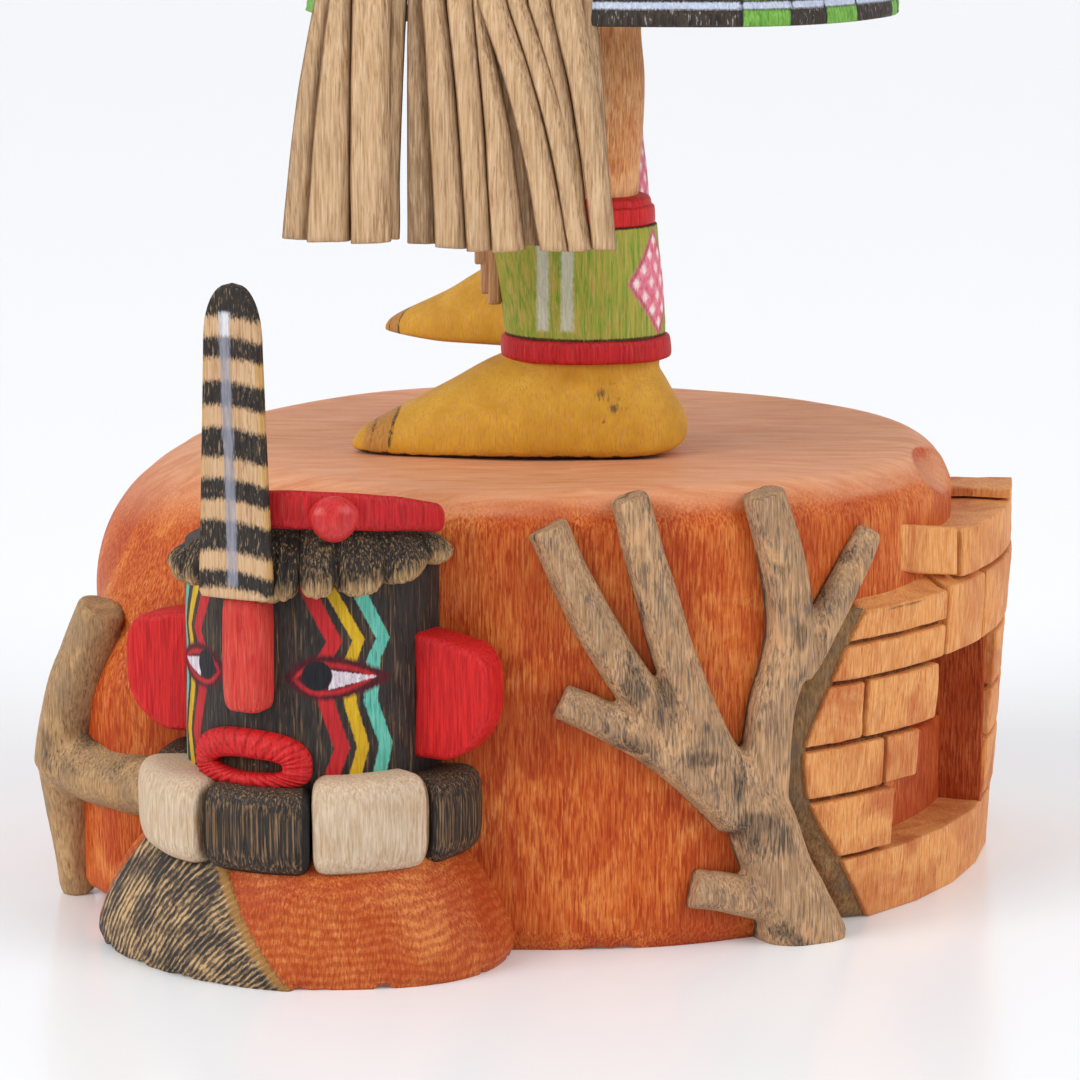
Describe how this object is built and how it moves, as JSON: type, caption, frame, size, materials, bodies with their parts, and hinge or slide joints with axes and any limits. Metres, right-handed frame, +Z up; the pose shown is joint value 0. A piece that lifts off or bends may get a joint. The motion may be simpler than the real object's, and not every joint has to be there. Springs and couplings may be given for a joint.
{
  "type": "kachina doll",
  "caption": "Painted cottonwood carving of a masked dancer on one leg, on an oval base carved with a bust, a dead tree and a ruined stone wall",
  "frame": {"origin": "middle of the flat underside of the carved base", "axes": "+Z up, +X towards the ruined wall at the base's right end, -Y towards the front with the bust and the tree; the dancer faces -X"},
  "size_m": [0.1629, 0.1413, 0.3623],
  "materials": {
    "stained_wood": "orange stain, satin",
    "red_paint": "red acrylic paint on carved wood, satin",
    "feather_wood": "bare wood with painted dark bars, matt",
    "figure_wood": "stained and painted wood, satin",
    "bare_wood": "bare carved wood, matt"
  },
  "bodies": {
    "root": {"base": "stained_wood", "bust_headband": "red_paint", "bust_ear_left": "red_paint", "bust_ear_right": "red_paint", "bust_nose": "red_paint", "bust_feather": "feather_wood", "figure": "figure_wood", "sash": "bare_wood", "figure_headband": "red_paint", "figure_ear_left": "red_paint", "figure_ear_right": "red_paint", "figure_nose": "red_paint", "figure_feather": "feather_wood"}
  },
  "joints": []
}
